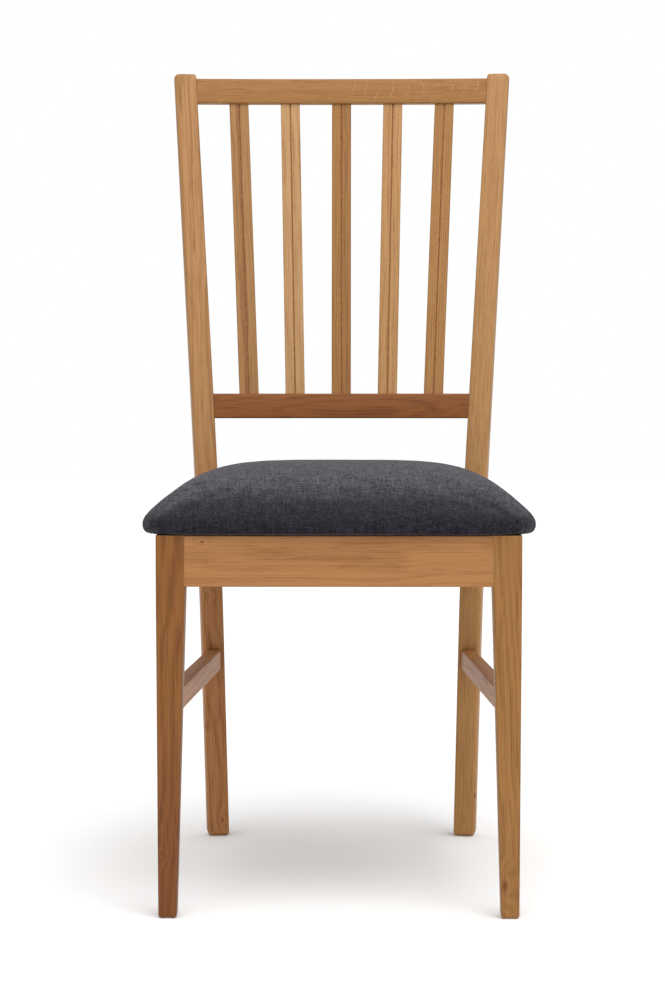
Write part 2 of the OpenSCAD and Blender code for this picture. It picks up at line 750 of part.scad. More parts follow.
under_steps = 4;
top_steps = 10;
shoulder_power = 8;
crown_side_power = 4;
crown_end_power = 3;
pad_tuck = 6; // how far the underside is drawn in at the frame

// Height of the pad's top over p, a point of the ring with share s: a rounded shoulder all round,
// and a crown that falls away to the sides, the front and the rear
function pad_half_at(y) = lerp(pad_front_half, pad_rear_half, (y - pad_front_y) / pad_len);
function pad_top(p, s) =
    let (v = abs(p[0]) / pad_half_at(p[1]), w = abs(p[1] - pad_mid_y) / (pad_len / 2))
    pad_widest_z + pad_shoulder * (1 - pow(s, shoulder_power))
    + pad_crown * max(0, 1 - pow(v, crown_side_power)) * max(0, 1 - pow(w, crown_end_power));

// The crowned pad, drawn in by t all over, standing on z = base
module pad_body(t, base) {
    k = inset_share(t);
    loft(concat(
        [for (i = [0:under_steps]) let (a = 90 * i / under_steps)
            pad_ring(k - pad_tuck / pad_front_half * (1 - sin(a)), lerp(pad_widest_z, base, cos(a)))],
        [for (i = [1:top_steps - 1]) let (s = cos(90 * i / top_steps))
            [for (p = pad_points(s))
                [p[0] * k, lerp(pad_mid_y, p[1], k), pad_top(p, s) - t * (1 - pow(s, shoulder_power))]]]
    ));
}

module board_shape(grow = 0)
    translate([0, 0, board_z - grow]) linear_extrude(board_t + 2 * grow)
        polygon(pad_points(inset_share(board_inset - grow)));

module seat_screw_holes() for (side = [-1, 1]) both_sides(side) {
    front_seat_place() screw_shape(seat_screw_l, screw_gap);
    rear_seat_place() screw_shape(seat_screw_l, screw_gap);
}

// The staples hold the cover's folded edge and the dust cover's edge over it
staple_from_edge = 7;
dust_over_cover = 14;
lap_share = inset_share(board_inset + cover_lap);
staple_share = inset_share(board_inset + cover_lap - staple_from_edge);
dust_share = inset_share(board_inset + cover_lap - dust_over_cover);
staple_crown = 11;
staple_wire = 1;
staple_leg = 6;
staple_gap = 0.1;
staple_from_rail = 4;
staple_span_x = 1.2; // length of a row of staples, as a share of the pad's half width
staple_span_y = 0.56; // and of its depth

// Children at each staple, with the crown along X
module staple_places() {
    n = staples_per_side;
    span_x = pad_rear_half * staple_span_x;
    span_y = pad_len * staple_span_y;
    for (k = [0:n - 1]) let (t = k / (n - 1) - 0.5) {
        translate([t * span_x, lerp(pad_mid_y, pad_front_y, staple_share), 0]) children();
        translate([t * span_x, lerp(pad_mid_y, pad_rear_y, staple_share), 0]) children();
        side_y = pad_mid_y + t * span_y;
        side_x = min(staple_share * pad_half_at(side_y), side_inner_x(side_y) - staple_from_rail);
        for (side = [-1, 1]) translate([side * side_x, side_y, 0]) rotate([0, 0, 90]) children();
    }
}

module staple_shape(grow = 0) {
    w = staple_wire + 2 * grow;
    crown_z = pad_base_z - dust_cover_t - staple_wire;
    for (x = [-1, 1]) translate([x * (staple_crown - staple_wire) / 2 - w / 2, -w / 2, crown_z])
        cube([w, w, staple_wire + dust_cover_t + cover_t + staple_leg + grow]);
    translate([-staple_crown / 2, -w / 2, crown_z]) cube([staple_crown, w, staple_wire]);
}

module seat_board() color(birch) in_chair() difference() {
    board_shape();
    seat_screw_holes();
    staple_places() staple_shape(staple_gap);
}

module seat_foam() color(foam_colour) in_chair() difference() {
    pad_body(cover_t + glue_gap, board_z + glue_gap);
    board_shape(glue_gap);
}

module seat_cover() color(fabric) in_chair() difference() {
    pad_body(0, pad_base_z);
    pad_body(cover_t, board_z);
    translate([0, 0, pad_base_z - cover_t]) linear_extrude(3 * cover_t) polygon(pad_points(lap_share));
    seat_screw_holes();
    staple_places() staple_shape(staple_gap);
}

module dust_cover() color(felt) in_chair() difference() {
    translate([0, 0, pad_base_z - dust_cover_t]) linear_extrude(dust_cover_t)
        polygon(pad_points(dust_share));
    seat_screw_holes();
    staple_places() staple_shape(staple_gap);
}

// ---- Fasteners and feet ----

module front_rail_dowels() color(birch) in_chair() for (side = [-1, 1]) both_sides(side) front_dowel_pair();
module rear_rail_dowels() color(birch) in_chair() for (side = [-1, 1]) both_sides(side) rear_dowel_pair();
module side_rail_dowels() color(birch) in_chair() for (side = [-1, 1]) both_sides(side) side_dowel_set();

module corner_block_screws() color(steel) in_chair() for (side = [-1, 1]) both_sides(side) {
    front_block_places() screw(block_screw_l);
    rear_block_places() screw(block_screw_l);
}

module seat_screws() color(steel) in_chair() for (side = [-1, 1]) both_sides(side) {
    front_seat_place() screw(seat_screw_l);
    rear_seat_place() screw(seat_screw_l);
}

module cover_staples() color(steel) in_chair() staple_places() staple_shape();

module foot_glides() color(nylon) in_chair() for (side = [-1, 1]) both_sides(side) {
    translate(concat(front_glide_xy(), [0])) glide_shape();
    translate(concat(rear_glide_xy(), [0])) glide_shape();
}

front_leg(-1);  // front_leg_left
front_leg(1);  // front_leg_right
rear_leg(-1);  // rear_leg_left
rear_leg(1);  // rear_leg_right
front_rail();
rear_rail();
side_rail(-1);  // side_rail_left
side_rail(1);  // side_rail_right
side_stretcher(-1);  // side_stretcher_left
side_stretcher(1);  // side_stretcher_right
corner_block_front(-1);  // corner_block_front_left
corner_block_front(1);  // corner_block_front_right
corner_block_rear(-1);  // corner_block_rear_left
corner_block_rear(1);  // corner_block_rear_right
top_rail();
lower_rail();
slat(1);  // slat_1
slat(2);  // slat_2
slat(3);  // slat_3
slat(4);  // slat_4
slat(5);  // slat_5
front_rail_dowels();
rear_rail_dowels();
side_rail_dowels();
corner_block_screws();
seat_screws();
seat_board();
seat_foam();
seat_cover();
dust_cover();
cover_staples();
foot_glides();
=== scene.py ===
import json
import math

import bmesh
import bpy
from mathutils import Matrix, Vector, noise

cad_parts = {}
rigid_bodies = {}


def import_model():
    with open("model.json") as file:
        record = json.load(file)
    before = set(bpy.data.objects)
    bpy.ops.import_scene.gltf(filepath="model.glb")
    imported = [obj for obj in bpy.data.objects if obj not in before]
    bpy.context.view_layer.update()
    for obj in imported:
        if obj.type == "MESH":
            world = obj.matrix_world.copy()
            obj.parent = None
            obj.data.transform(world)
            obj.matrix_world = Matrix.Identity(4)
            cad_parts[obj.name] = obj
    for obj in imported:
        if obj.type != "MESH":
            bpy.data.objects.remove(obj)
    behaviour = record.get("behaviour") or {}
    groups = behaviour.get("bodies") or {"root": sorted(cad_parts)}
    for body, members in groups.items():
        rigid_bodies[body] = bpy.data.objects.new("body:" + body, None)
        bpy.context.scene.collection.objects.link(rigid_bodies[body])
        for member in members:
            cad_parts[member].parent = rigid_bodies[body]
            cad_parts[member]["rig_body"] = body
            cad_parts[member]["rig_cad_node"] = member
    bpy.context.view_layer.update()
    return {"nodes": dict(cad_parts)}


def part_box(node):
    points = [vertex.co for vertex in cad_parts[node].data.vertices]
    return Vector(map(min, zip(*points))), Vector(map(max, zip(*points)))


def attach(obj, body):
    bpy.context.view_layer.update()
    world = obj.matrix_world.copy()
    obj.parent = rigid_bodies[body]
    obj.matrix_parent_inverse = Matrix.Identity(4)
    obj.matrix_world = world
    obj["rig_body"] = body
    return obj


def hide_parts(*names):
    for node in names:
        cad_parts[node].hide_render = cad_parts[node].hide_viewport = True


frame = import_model()
nodes = frame["nodes"]
print("frame loaded:", len(nodes), "nodes")

# small helpers
sharpTurn = 34  # degrees, past which an edge stays sharp
joinDistance = 0.00002


def rgb(r, g, b):
    # a colour given as 0-255 screen values, made linear for a shader
    shares = [v / 255 for v in (r, g, b)]
    return tuple(s / 12.92 if s <= 0.04 else ((s + 0.055) / 1.055) ** 2.4 for s in shares) + (1.0,)


def deselectAll():
    if bpy.context.object and bpy.context.object.mode != "OBJECT":
        bpy.ops.object.mode_set(mode="OBJECT")
    bpy.ops.object.select_all(action="DESELECT")


def makeActive(piece):
    deselectAll()
    piece.select_set(True)
    bpy.context.view_layer.objects.active = piece


def setInputs(tree, node, inputs):
    # inputs are values or sockets to link from
    for key, value in inputs.items():
        if isinstance(value, bpy.types.NodeSocket):
            tree.links.new(value, node.inputs[key])
        else:
            node.inputs[key].default_value = value


def addNode(tree, kind, inputs=None, **settings):
    node = tree.nodes.new(kind)
    for name, value in settings.items():
        setattr(node, name, value)
    setInputs(tree, node, inputs or {})
    return node


def maths(tree, operation, a, b=0.0, c=None, clamp=False):
    inputs = {0: a, 1: b} if c is None else {0: a, 1: b, 2: c}
    return addNode(tree, "ShaderNodeMath", inputs, operation=operation, use_clamp=clamp).outputs[0]


def total(tree, *values):
    # the sum of any number of values
    result = values[0]
    for value in values[1:]:
        result = maths(tree, "ADD", result, value)
    return result


def product(tree, *values):
    result = values[0]
    for value in values[1:]:
        result = maths(tree, "MULTIPLY", result, value)
    return result


def swing(tree, value, middle, gain):
    # how far a value is from its middle, times a gain
    return maths(tree, "MULTIPLY", maths(tree, "SUBTRACT", value, middle), gain)


def splitAxes(tree, vector):
    return addNode(tree, "ShaderNodeSeparateXYZ", {0: vector}).outputs


def joinAxes(tree, *values):
    return addNode(tree, "ShaderNodeCombineXYZ", dict(enumerate(values))).outputs[0]


def vectorMaths(tree, operation, a, b=(0, 0, 0)):
    node = addNode(tree, "ShaderNodeVectorMath", {0: a}, operation=operation)
    target = node.inputs["Scale" if operation == "SCALE" else 1]
    if isinstance(b, bpy.types.NodeSocket):
        tree.links.new(b, target)
    else:
        target.default_value = b
    return node.outputs["Value"] if operation in ("LENGTH", "DOT_PRODUCT") else node.outputs["Vector"]


def ramp(tree, value, low, high, toLow=0.0, toHigh=1.0):
    # a smooth step from toLow at low to toHigh at high
    node = addNode(tree, "ShaderNodeMapRange", {"Value": value, "From Min": low, "From Max": high,
                                               "To Min": toLow, "To Max": toHigh},
                   interpolation_type="SMOOTHSTEP", clamp=True)
    return node.outputs["Result"]


def mixColour(tree, factor, a, b, blend="MIX"):
    node = addNode(tree, "ShaderNodeMix", {0: factor, 6: a, 7: b}, data_type="RGBA", blend_type=blend)
    return node.outputs[2]


def noiseAt(tree, vector, scale=1.0, detail=2.0, roughness=0.5):
    return addNode(tree, "ShaderNodeTexNoise", {"Vector": vector, "Scale": scale, "Detail": detail,
                                                "Roughness": roughness},
                   noise_dimensions="3D").outputs["Fac"]


def stretch(tree, vector, scale):
    return vectorMaths(tree, "MULTIPLY", vector, scale)


def inMillimetres(tree, place):
    return vectorMaths(tree, "SCALE", place, 1000.0)


def newGroup(name, inputs, outputs):
    # inputs: name -> (socket type, default)
    tree = bpy.data.node_groups.new(name, "ShaderNodeTree")
    for label, (kind, value) in inputs.items():
        socket = tree.interface.new_socket(label, in_out="INPUT", socket_type=kind)
        if value is not None:
            socket.default_value = value
    for label, kind in outputs.items():
        tree.interface.new_socket(label, in_out="OUTPUT", socket_type=kind)
    return tree, tree.nodes.new("NodeGroupInput").outputs, tree.nodes.new("NodeGroupOutput").inputs


def newMaterial(name):
    material = bpy.data.materials.new(name)
    material.use_nodes = True
    tree = material.node_tree
    tree.nodes.clear()
    shader = tree.nodes.new("ShaderNodeBsdfPrincipled")
    output = tree.nodes.new("ShaderNodeOutputMaterial")
    tree.links.new(shader.outputs["BSDF"], output.inputs["Surface"])
    place = tree.nodes.new("ShaderNodeTexCoord").outputs["Object"]
    return material, tree, shader, place


def useGroup(tree, group, inputs):
    node = tree.nodes.new("ShaderNodeGroup")
    node.node_tree = group
    setInputs(tree, node, inputs)
    return node.outputs


def bumpFrom(tree, shader, height, distance, strength=1.0):
    bump = addNode(tree, "ShaderNodeBump", {"Height": height, "Distance": distance, "Strength": strength})
    tree.links.new(bump.outputs["Normal"], shader.inputs["Normal"])


def paint(piece, material):
    piece.data.materials.clear()
    piece.data.materials.append(material)


def clearNormals(piece):
    if piece.data.has_custom_normals:
        makeActive(piece)
        bpy.ops.mesh.customdata_custom_splitnormals_clear()


def shadeSmooth(piece):
    for face in piece.data.polygons:
        face.use_smooth = True


def smoothNode(piece):
    # joins the loose triangles and shades them smooth, with the sharp edges kept
    clearNormals(piece)
    shadeSmooth(piece)
    weld = piece.modifiers.new("joinTriangles", "WELD")
    weld.merge_threshold = joinDistance
    split = piece.modifiers.new("keepSharp", "EDGE_SPLIT")
    split.split_angle = math.radians(sharpTurn)


studio = {
    "cameraAt": (0.0167, -2.6368, 0.5609),
    "pitch": 2.76,  # degrees down
    "yaw": 0.56,  # degrees to the left
    "lens": 81.44,
    "filmWidth": 36,
    "farthest": 50,
    "worldLight": 0.62,
    "keyStrength": 1.95,
    "keyTurn": (32, 0, 16),
    "keySpread": 80,  # degrees, for soft shadows
    "topPower": 16.0,
    "topAt": (0.35, -1.1, 2.5),
    "topAim": (0, 0, 0.6),
    "topSize": 1.3,
    "floorColour": (0.96, 0.96, 0.955),
    "floorSize": 24,
}


def putInScene(name, data, place=(0, 0, 0)):
    item = bpy.data.objects.new(name, data)
    item.location = place
    bpy.context.collection.objects.link(item)
    return item


cameraData = bpy.data.cameras.new("studioCamera")
cameraData.lens = studio["lens"]
cameraData.sensor_width = studio["filmWidth"]
cameraData.clip_end = studio["farthest"]
camera = putInScene("studioCamera", cameraData, studio["cameraAt"])
camera.rotation_euler = (math.radians(90 - studio["pitch"]), 0, math.radians(studio["yaw"]))
bpy.context.scene.camera = camera

world = bpy.data.worlds.new("paleStudio")
bpy.context.scene.world = world
world.use_nodes = True
worldTree = world.node_tree
worldTree.nodes.clear()
lightPath = worldTree.nodes.new("ShaderNodeLightPath")
seen = addNode(worldTree, "ShaderNodeBackground", {"Color": (1, 1, 1, 1), "Strength": 1.0})
lit = addNode(worldTree, "ShaderNodeBackground", {"Color": (1, 1, 1, 1), "Strength": studio["worldLight"]})
worldMix = addNode(worldTree, "ShaderNodeMixShader", {0: lightPath.outputs["Is Camera Ray"]})
worldTree.links.new(lit.outputs[0], worldMix.inputs[1])
worldTree.links.new(seen.outputs[0], worldMix.inputs[2])
worldOut = worldTree.nodes.new("ShaderNodeOutputWorld")
worldTree.links.new(worldMix.outputs[0], worldOut.inputs["Surface"])
bpy.context.scene.view_settings.view_transform = "Standard"

keyData = bpy.data.lights.new("keyLight", "SUN")
keyData.energy = studio["keyStrength"]
keyData.angle = math.radians(studio["keySpread"])
keyLight = putInScene("keyLight", keyData)
keyLight.rotation_euler = tuple(math.radians(a) for a in studio["keyTurn"])

topData = bpy.data.lights.new("topLight", "AREA")
topData.energy = studio["topPower"]
topData.size = studio["topSize"]
topLight = putInScene("topLight", topData, studio["topAt"])
topLine = Vector(studio["topAt"]) - Vector(studio["topAim"])
topLight.rotation_euler = topLine.to_track_quat("Z", "Y").to_euler()

deselectAll()
bpy.ops.mesh.primitive_plane_add(size=studio["floorSize"], location=(0, 0, 0))
floor = bpy.context.object
floor.name = "studioFloor"
floorMaterial, tree, shader, place = newMaterial("paleFloor")
shader.inputs["Base Color"].default_value = studio["floorColour"] + (1,)
shader.inputs["Roughness"].default_value = 0.8
shader.inputs["Specular IOR Level"].default_value = 0.2
paint(floor, floorMaterial)
print("studio ready")

# the figure of the oak: each noise is its scale per mm, detail and roughness, and each range
# is where a mask starts and ends, with its two values where they aren't 0 and 1
figureLook = {
    "seedStep": (371.0, 137.0, 53.0),
    "warpY": ((0.0055, 0.014, 0.014), 2, 0.5),
    "warpZ": ((0.00624, 0.0221, 0.0169), 2, 0.5),
    "wander": ((0.010, 0.04, 0.04), 2, 0.5),
    "earlyEdge": 2.2,
    "ringToneStep": 0.31,
    "ringToneRange": (0.35, 0.65, 0.35, 1.0),
    "fibre": ((0.008, 0.50, 0.50), 4, 0.66),
    "fibreMiddle": 0.42,
    "hair": ((0.010, 0.90, 0.90), 2, 0.5),
    "hairGain": 2.2,
    "blotch": ((0.006, 0.022, 0.022), 3, 0.55),
    "blotchGain": 0.45,
    "streaks": ((0.0030, 0.26, 0.26), 4, 0.68),
    "streakRange": (0.52, 0.72),
    "streakInFibre": (0.30, 0.60, 0.45, 1.0),
    "pores": ((0.04, 1.1, 1.1), 2, 0.5),
    "poreRange": (0.57, 0.68),
    "poreInRing": (0.15, 0.8, 0.25, 1.0),
    "poreColour": 0.75,
    "rayBend": ((0.007, 0.034, 0.034), 0, 0.4),
    "rayBendGain": 2.6,
    "rayStep": 0.058,
    "raySlant": 0.022,
    "rayWidth": (0.006, 0.026, 1.0, 0.0),
    "rayPatch": ((0.05, 0.05, 0.05), 2, 0.5),
    "rayPatchRange": (0.40, 0.60, 0.1, 1.0),
    "rayColour": (0.74, 0.56, 0.35, 1),
    "rayShare": 0.55,
    "rough": {"base": 0.36, "fibre": 0.22, "pores": 0.2, "rays": 0.08},
    "high": {"fibre": 0.35, "pores": 0.8, "early": 0.15},
}
colourKind, floatKind, vectorKind = "NodeSocketColor", "NodeSocketFloat", "NodeSocketVector"
oakFigure, gIn, gOut = newGroup(
    "oakFigure",
    {
        "Place": (vectorKind, None),  # in mm, x along the grain
        "Seed": (floatKind, 0.0),
        "Pale": (colourKind, (0.5, 0.28, 0.12, 1)),
        "Dark": (colourKind, (0.35, 0.17, 0.07, 1)),
        "Streak": (colourKind, (0.15, 0.06, 0.02, 1)),
        "Ring Width": (floatKind, 3.0),
        "Log Y": (floatKind, 60.0),
        "Log Z": (floatKind, 20.0),
        "Run": (floatKind, 0.02),
        "Waviness": (floatKind, 6.0),
        "Pull": (floatKind, 0.0),
        "Rings": (floatKind, 0.5),
        "Pores": (floatKind, 0.5),
        "Streaks": (floatKind, 0.3),
        "Rays": (floatKind, 0.0),
    },
    {"Color": colourKind, "Roughness": floatKind, "Height": floatKind},
)
t = oakFigure


def figureNoise(vector, name):
    scale, detail, roughness = figureLook[name]
    return noiseAt(oakFigure, stretch(oakFigure, vector, scale), 1, detail, roughness)


def figureRamp(value, name):
    return ramp(oakFigure, value, *figureLook[name])


shift = vectorMaths(t, "SCALE", joinAxes(t, *figureLook["seedStep"]), gIn["Seed"])
seeded = vectorMaths(t, "ADD", gIn["Place"], shift)
shifted = splitAxes(t, seeded)
parts = splitAxes(t, gIn["Place"])
warpY = swing(t, figureNoise(seeded, "warpY"), 0.5, gIn["Waviness"])
warpZ = swing(t, figureNoise(seeded, "warpZ"), 0.5, gIn["Waviness"])
logY = total(t, parts[1], gIn["Log Y"], warpY)
logZ = total(t, parts[2], gIn["Log Z"], product(t, parts[0], gIn["Run"]), warpZ)
radius = maths(t, "SQRT", total(t, product(t, logY, logY), product(t, logZ, logZ)))
radius = total(t, radius, gIn["Pull"])
ringAt = total(t, maths(t, "DIVIDE", radius, gIn["Ring Width"]), figureNoise(seeded, "wander"))
wave = maths(t, "COSINE", product(t, ringAt, 2 * math.pi))
early = maths(t, "POWER", maths(t, "MULTIPLY_ADD", wave, 0.5, 0.5), figureLook["earlyEdge"])
ringTone = noiseAt(t, joinAxes(t, product(t, ringAt, figureLook["ringToneStep"]), gIn["Seed"]))
ringMask = product(t, early, figureRamp(ringTone, "ringToneRange"))
bentLines = joinAxes(t, shifted[0], total(t, shifted[1], warpY), total(t, shifted[2], warpZ))
fibre = figureNoise(bentLines, "fibre")
hair = figureNoise(bentLines, "hair")
blotch = figureNoise(seeded, "blotch")
tone = total(t, product(t, ringMask, gIn["Rings"]), maths(t, "SUBTRACT", fibre, figureLook["fibreMiddle"]),
             swing(t, hair, 0.5, figureLook["hairGain"]))
tone = maths(t, "ADD", tone, swing(t, blotch, 0.5, figureLook["blotchGain"]), clamp=True)
colour = mixColour(t, tone, gIn["Pale"], gIn["Dark"])

streakMask = product(t, figureRamp(figureNoise(bentLines, "streaks"), "streakRange"), gIn["Streaks"],
                     figureRamp(fibre, "streakInFibre"))
colour = mixColour(t, streakMask, colour, gIn["Streak"])
poreMask = product(t, figureRamp(figureNoise(bentLines, "pores"), "poreRange"),
                   figureRamp(early, "poreInRing"), gIn["Pores"])
colour = mixColour(t, product(t, poreMask, figureLook["poreColour"]), colour, gIn["Streak"])

# ray flecks, thin pale arcs across the grain
rayPhase = total(t, product(t, parts[0], figureLook["rayStep"]),
                 product(t, figureNoise(seeded, "rayBend"), figureLook["rayBendGain"]),
                 product(t, total(t, parts[1], parts[2]), figureLook["raySlant"]))
rayLine = maths(t, "PINGPONG", rayPhase, 0.5)
rayMask = product(t, figureRamp(rayLine, "rayWidth"),
                  figureRamp(figureNoise(seeded, "rayPatch"), "rayPatchRange"), gIn["Rays"])
rayColour = mixColour(t, figureLook["rayShare"], gIn["Pale"], figureLook["rayColour"])
t.links.new(mixColour(t, rayMask, colour, rayColour), gOut["Color"])

amounts = figureLook["rough"]
rough = total(t, product(t, fibre, amounts["fibre"]), amounts["base"], product(t, poreMask, amounts["pores"]))
t.links.new(maths(t, "SUBTRACT", rough, product(t, rayMask, amounts["rays"])), gOut["Roughness"])
amounts = figureLook["high"]
height = maths(t, "SUBTRACT", product(t, fibre, amounts["fibre"]), product(t, poreMask, amounts["pores"]))
t.links.new(maths(t, "SUBTRACT", height, product(t, early, amounts["early"])), gOut["Height"])

# a knot: a dark oval that the rings bend round
knotLook = {
    "wobbleScale": (0.5, 0.5, 0.5),
    "wobble": 0.5,
    "squash": (0.5, 0.2, 1),  # long with the grain and deep
    "edge": (0.45, 1.15, 1.0, 0.0),
    "falloff": -0.16,
    "pull": 1.5,
    "colour": (98, 48, 22),
    "strength": 0.8,
}
knotGroup, kIn, kOut = newGroup(
    "oakKnot",
    {"Place": (vectorKind, None), "Centre": (vectorKind, (0, 0, 0)), "Size": (floatKind, 4.0)},
    {"Pull": floatKind, "Mask": floatKind},
)
t = knotGroup
offset = vectorMaths(t, "SUBTRACT", kIn["Place"], kIn["Centre"])
wobble = product(t, noiseAt(t, stretch(t, kIn["Place"], knotLook["wobbleScale"])), kIn["Size"], knotLook["wobble"])
distance = total(t, vectorMaths(t, "LENGTH", stretch(t, offset, knotLook["squash"])), wobble)
share = maths(t, "DIVIDE", distance, kIn["Size"])
t.links.new(ramp(t, share, *knotLook["edge"]), kOut["Mask"])
fall = maths(t, "EXPONENT", product(t, share, share, knotLook["falloff"]))
t.links.new(product(t, fall, kIn["Size"], knotLook["pull"]), kOut["Pull"])

# a rear leg's own line: it leans back above and below the seat frame
bentLeg = {
    "top": 0.455,
    "foot": 0.31,
    "lean": 8.2,  # degrees
    "splay": 0.0385,
    "outward": 0.146,
    "middle": (0.1555, 0.167, 0.48),
    "halfLength": 0.4,
}
bentGroup, bIn, bOut = newGroup("bentGrain", {"Place": (vectorKind, None), "Side": (floatKind, 1.0)},
                                {"Place": vectorKind})
t = bentGroup
at = splitAxes(t, bIn["Place"])
above = maths(t, "MAXIMUM", maths(t, "SUBTRACT", at[2], bentLeg["top"]), 0.0)
below = maths(t, "MAXIMUM", maths(t, "SUBTRACT", bentLeg["foot"], at[2]), 0.0)
leanY = product(t, total(t, above, below), math.tan(math.radians(bentLeg["lean"])))
outX = product(t, total(t, product(t, at[2], bentLeg["splay"]), product(t, leanY, bentLeg["outward"])), bIn["Side"])
straight = joinAxes(t, maths(t, "SUBTRACT", at[0], outX), maths(t, "SUBTRACT", at[1], leanY), at[2])
t.links.new(straight, bOut["Place"])

# painted highlight on the edges: paler where the surface turns within a millimetre or so
edgeHighlightLook = {"reach": 0.0012, "turn": (0.80, 0.985, 1.0, 0.0), "strength": 0.14, "colour": (214, 168, 120)}
edgeHighlightGroup, eIn, eOut = newGroup("paintedEdgeHighlight", {"Bevelled": (vectorKind, None), "Plain": (vectorKind, None)},
                                {"Mask": floatKind})
t = edgeHighlightGroup
facing = vectorMaths(t, "DOT_PRODUCT", eIn["Bevelled"], eIn["Plain"])
t.links.new(ramp(t, facing, *edgeHighlightLook["turn"]), eOut["Mask"])
print("wood groups ready")


def endPoint(node, axis, high, reach=0.004):
    # middle of the section at one end of a member
    low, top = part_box(node)
    limit = top[axis] if high else low[axis]
    found = [v.co for v in nodes[node].data.vertices if abs(v.co[axis] - limit) < reach]
    lowest = [min(c[i] for c in found) for i in range(3)]
    highest = [max(c[i] for c in found) for i in range(3)]
    return Vector([(lowest[i] + highest[i]) / 2 for i in range(3)])


def grainBasis(start, end):
    # x along the member
    along = (end - start).normalized()
    across = Vector((0, -1, 0)) if abs(along.y) < 0.8 else Vector((1, 0, 0))
    third = along.cross(across).normalized()
    across = third.cross(along).normalized()
    return Matrix((along, across, third)).transposed()


def grainPlace(tree, place, start, end):
    # coordinates in mm with x along the member, from its middle
    turn = grainBasis(start, end).to_euler("XYZ")
    mapping = addNode(tree, "ShaderNodeMapping", {"Vector": place, "Location": (start + end) / 2, "Rotation": turn},
                      vector_type="TEXTURE")
    return inMillimetres(tree, mapping.outputs[0])


def localPoint(start, end, point):
    return tuple((grainBasis(start, end).transposed() @ (Vector(point) - (start + end) / 2)) * 1000)


# each member's own look; axis is the way it runs, and knots are a place in metres and a size in mm
oakDefaults = {
    "seed": 1.0, "pale": (196, 146, 100), "dark": (158, 108, 66), "streak": (120, 62, 28),
    "ringWidth": 2.6, "logY": 55.0, "logZ": 12.0, "run": 0.015, "waviness": 7.0,
    "rings": 0.5, "pores": 0.55, "streaks": 0.35, "rays": 0.0, "knots": [], "groove": False,
}
oakMembers = {
    "front_leg_left": {
        "seed": 1.3, "axis": 2, "pale": (131, 85, 39), "dark": (97, 56, 21), "streaks": 0.55,
        "logY": 70, "logZ": -18, "footTint": ((0.80, 0.68, 0.72), -140, 60),
        "knots": [((-0.1876, -0.2475, 0.0706), 2.6)],
    },
    "front_leg_right": {
        "seed": 2.1, "axis": 2, "pale": (147, 104, 56), "dark": (114, 73, 35),
        "logY": 45, "logZ": 22,
        "knots": [((0.1767, -0.2475, 0.0359), 5.0)],
    },
    "rear_leg_left": {
        "seed": 3.7, "axis": 2, "pale": (165, 121, 76), "dark": (127, 86, 46), "streaks": 0.4,
        "logY": 80, "logZ": 26, "footTint": ((1.0, 0.88, 0.80), -90, 0),
        "knots": [((-0.1735, 0.1586, 0.1852), 2.4), ((-0.1620, 0.1594, 0.1427), 2.2),
                  ((-0.1430, 0.1618, 0.0216), 2.8)],
    },
    "rear_leg_right": {
        "seed": 4.9, "axis": 2, "pale": (167, 125, 79), "dark": (137, 94, 52), "streaks": 0.3,
        "logY": 20, "logZ": 60, "rays": 0.22, "rayFrom": 120, "footTint": ((1.0, 0.97, 0.87), -90, 0),
        "knots": [((0.1610, 0.1611, 0.0536), 2.6)],
    },
    "front_rail": {
        "seed": 5.2, "axis": 0, "pale": (161, 113, 68), "dark": (134, 87, 49), "streaks": 0.06,
        "ringWidth": 2.7, "rings": 0.6, "run": 0.035, "waviness": 7, "logY": 96, "logZ": 6,
        "knots": [((-0.1447, -0.2465, 0.4022), 2.0)],
    },
    "rear_rail": {"seed": 6.4, "axis": 0, "logY": -50},
    "side_rail_left": {"seed": 7.1, "axis": 1, "logY": 44},
    "side_rail_right": {"seed": 8.6, "axis": 1, "logY": 62},
    "side_stretcher_left": {"seed": 9.3, "axis": 1, "pale": (171, 116, 71), "dark": (130, 79, 40)},
    "side_stretcher_right": {"seed": 10.8, "axis": 1, "pale": (167, 112, 65), "dark": (129, 79, 41)},
    "top_rail": {
        "seed": 11.5, "axis": 0, "pale": (150, 106, 59), "dark": (125, 81, 41), "streaks": 0.2,
        "rings": 0.35, "logY": 20, "logZ": 70, "rays": 0.5, "rayFrom": -12,
    },
    "lower_rail": {
        "seed": 12.9, "axis": 0, "pale": (129, 77, 31), "dark": (97, 52, 18), "streaks": 0.6,
        "logY": 36, "logZ": -12, "run": 0.03,
    },
    "slat_1": {
        "seed": 13.3, "axis": 2, "pale": (155, 114, 70), "dark": (120, 82, 43), "streaks": 0.9,
        "logY": 30, "logZ": 20, "groove": True, "stain": (-1.6, 3.4, 0.5),
    },
    "slat_2": {
        "seed": 14.7, "axis": 2, "pale": (175, 136, 93), "dark": (144, 104, 63), "streaks": 0.25,
        "logY": 66, "logZ": 18, "groove": True,
    },
    "slat_3": {
        "seed": 15.1, "axis": 2, "pale": (150, 107, 58), "dark": (118, 75, 35), "streaks": 0.45,
        "logY": 48, "logZ": -24, "groove": True, "halves": 0.2,
        "knots": [((0.0045, 0.2231, 0.876), 2.0)],
    },
    "slat_4": {
        "seed": 16.9, "axis": 2, "pale": (172, 130, 84), "dark": (143, 101, 57), "streaks": 0.2,
        "logY": 70, "logZ": 30, "groove": True,
    },
    "slat_5": {
        "seed": 17.4, "axis": 2, "pale": (157, 114, 65), "dark": (127, 83, 43), "streaks": 0.25,
        "logY": 24, "logZ": 60, "groove": True, "rays": 0.2,
    },
}

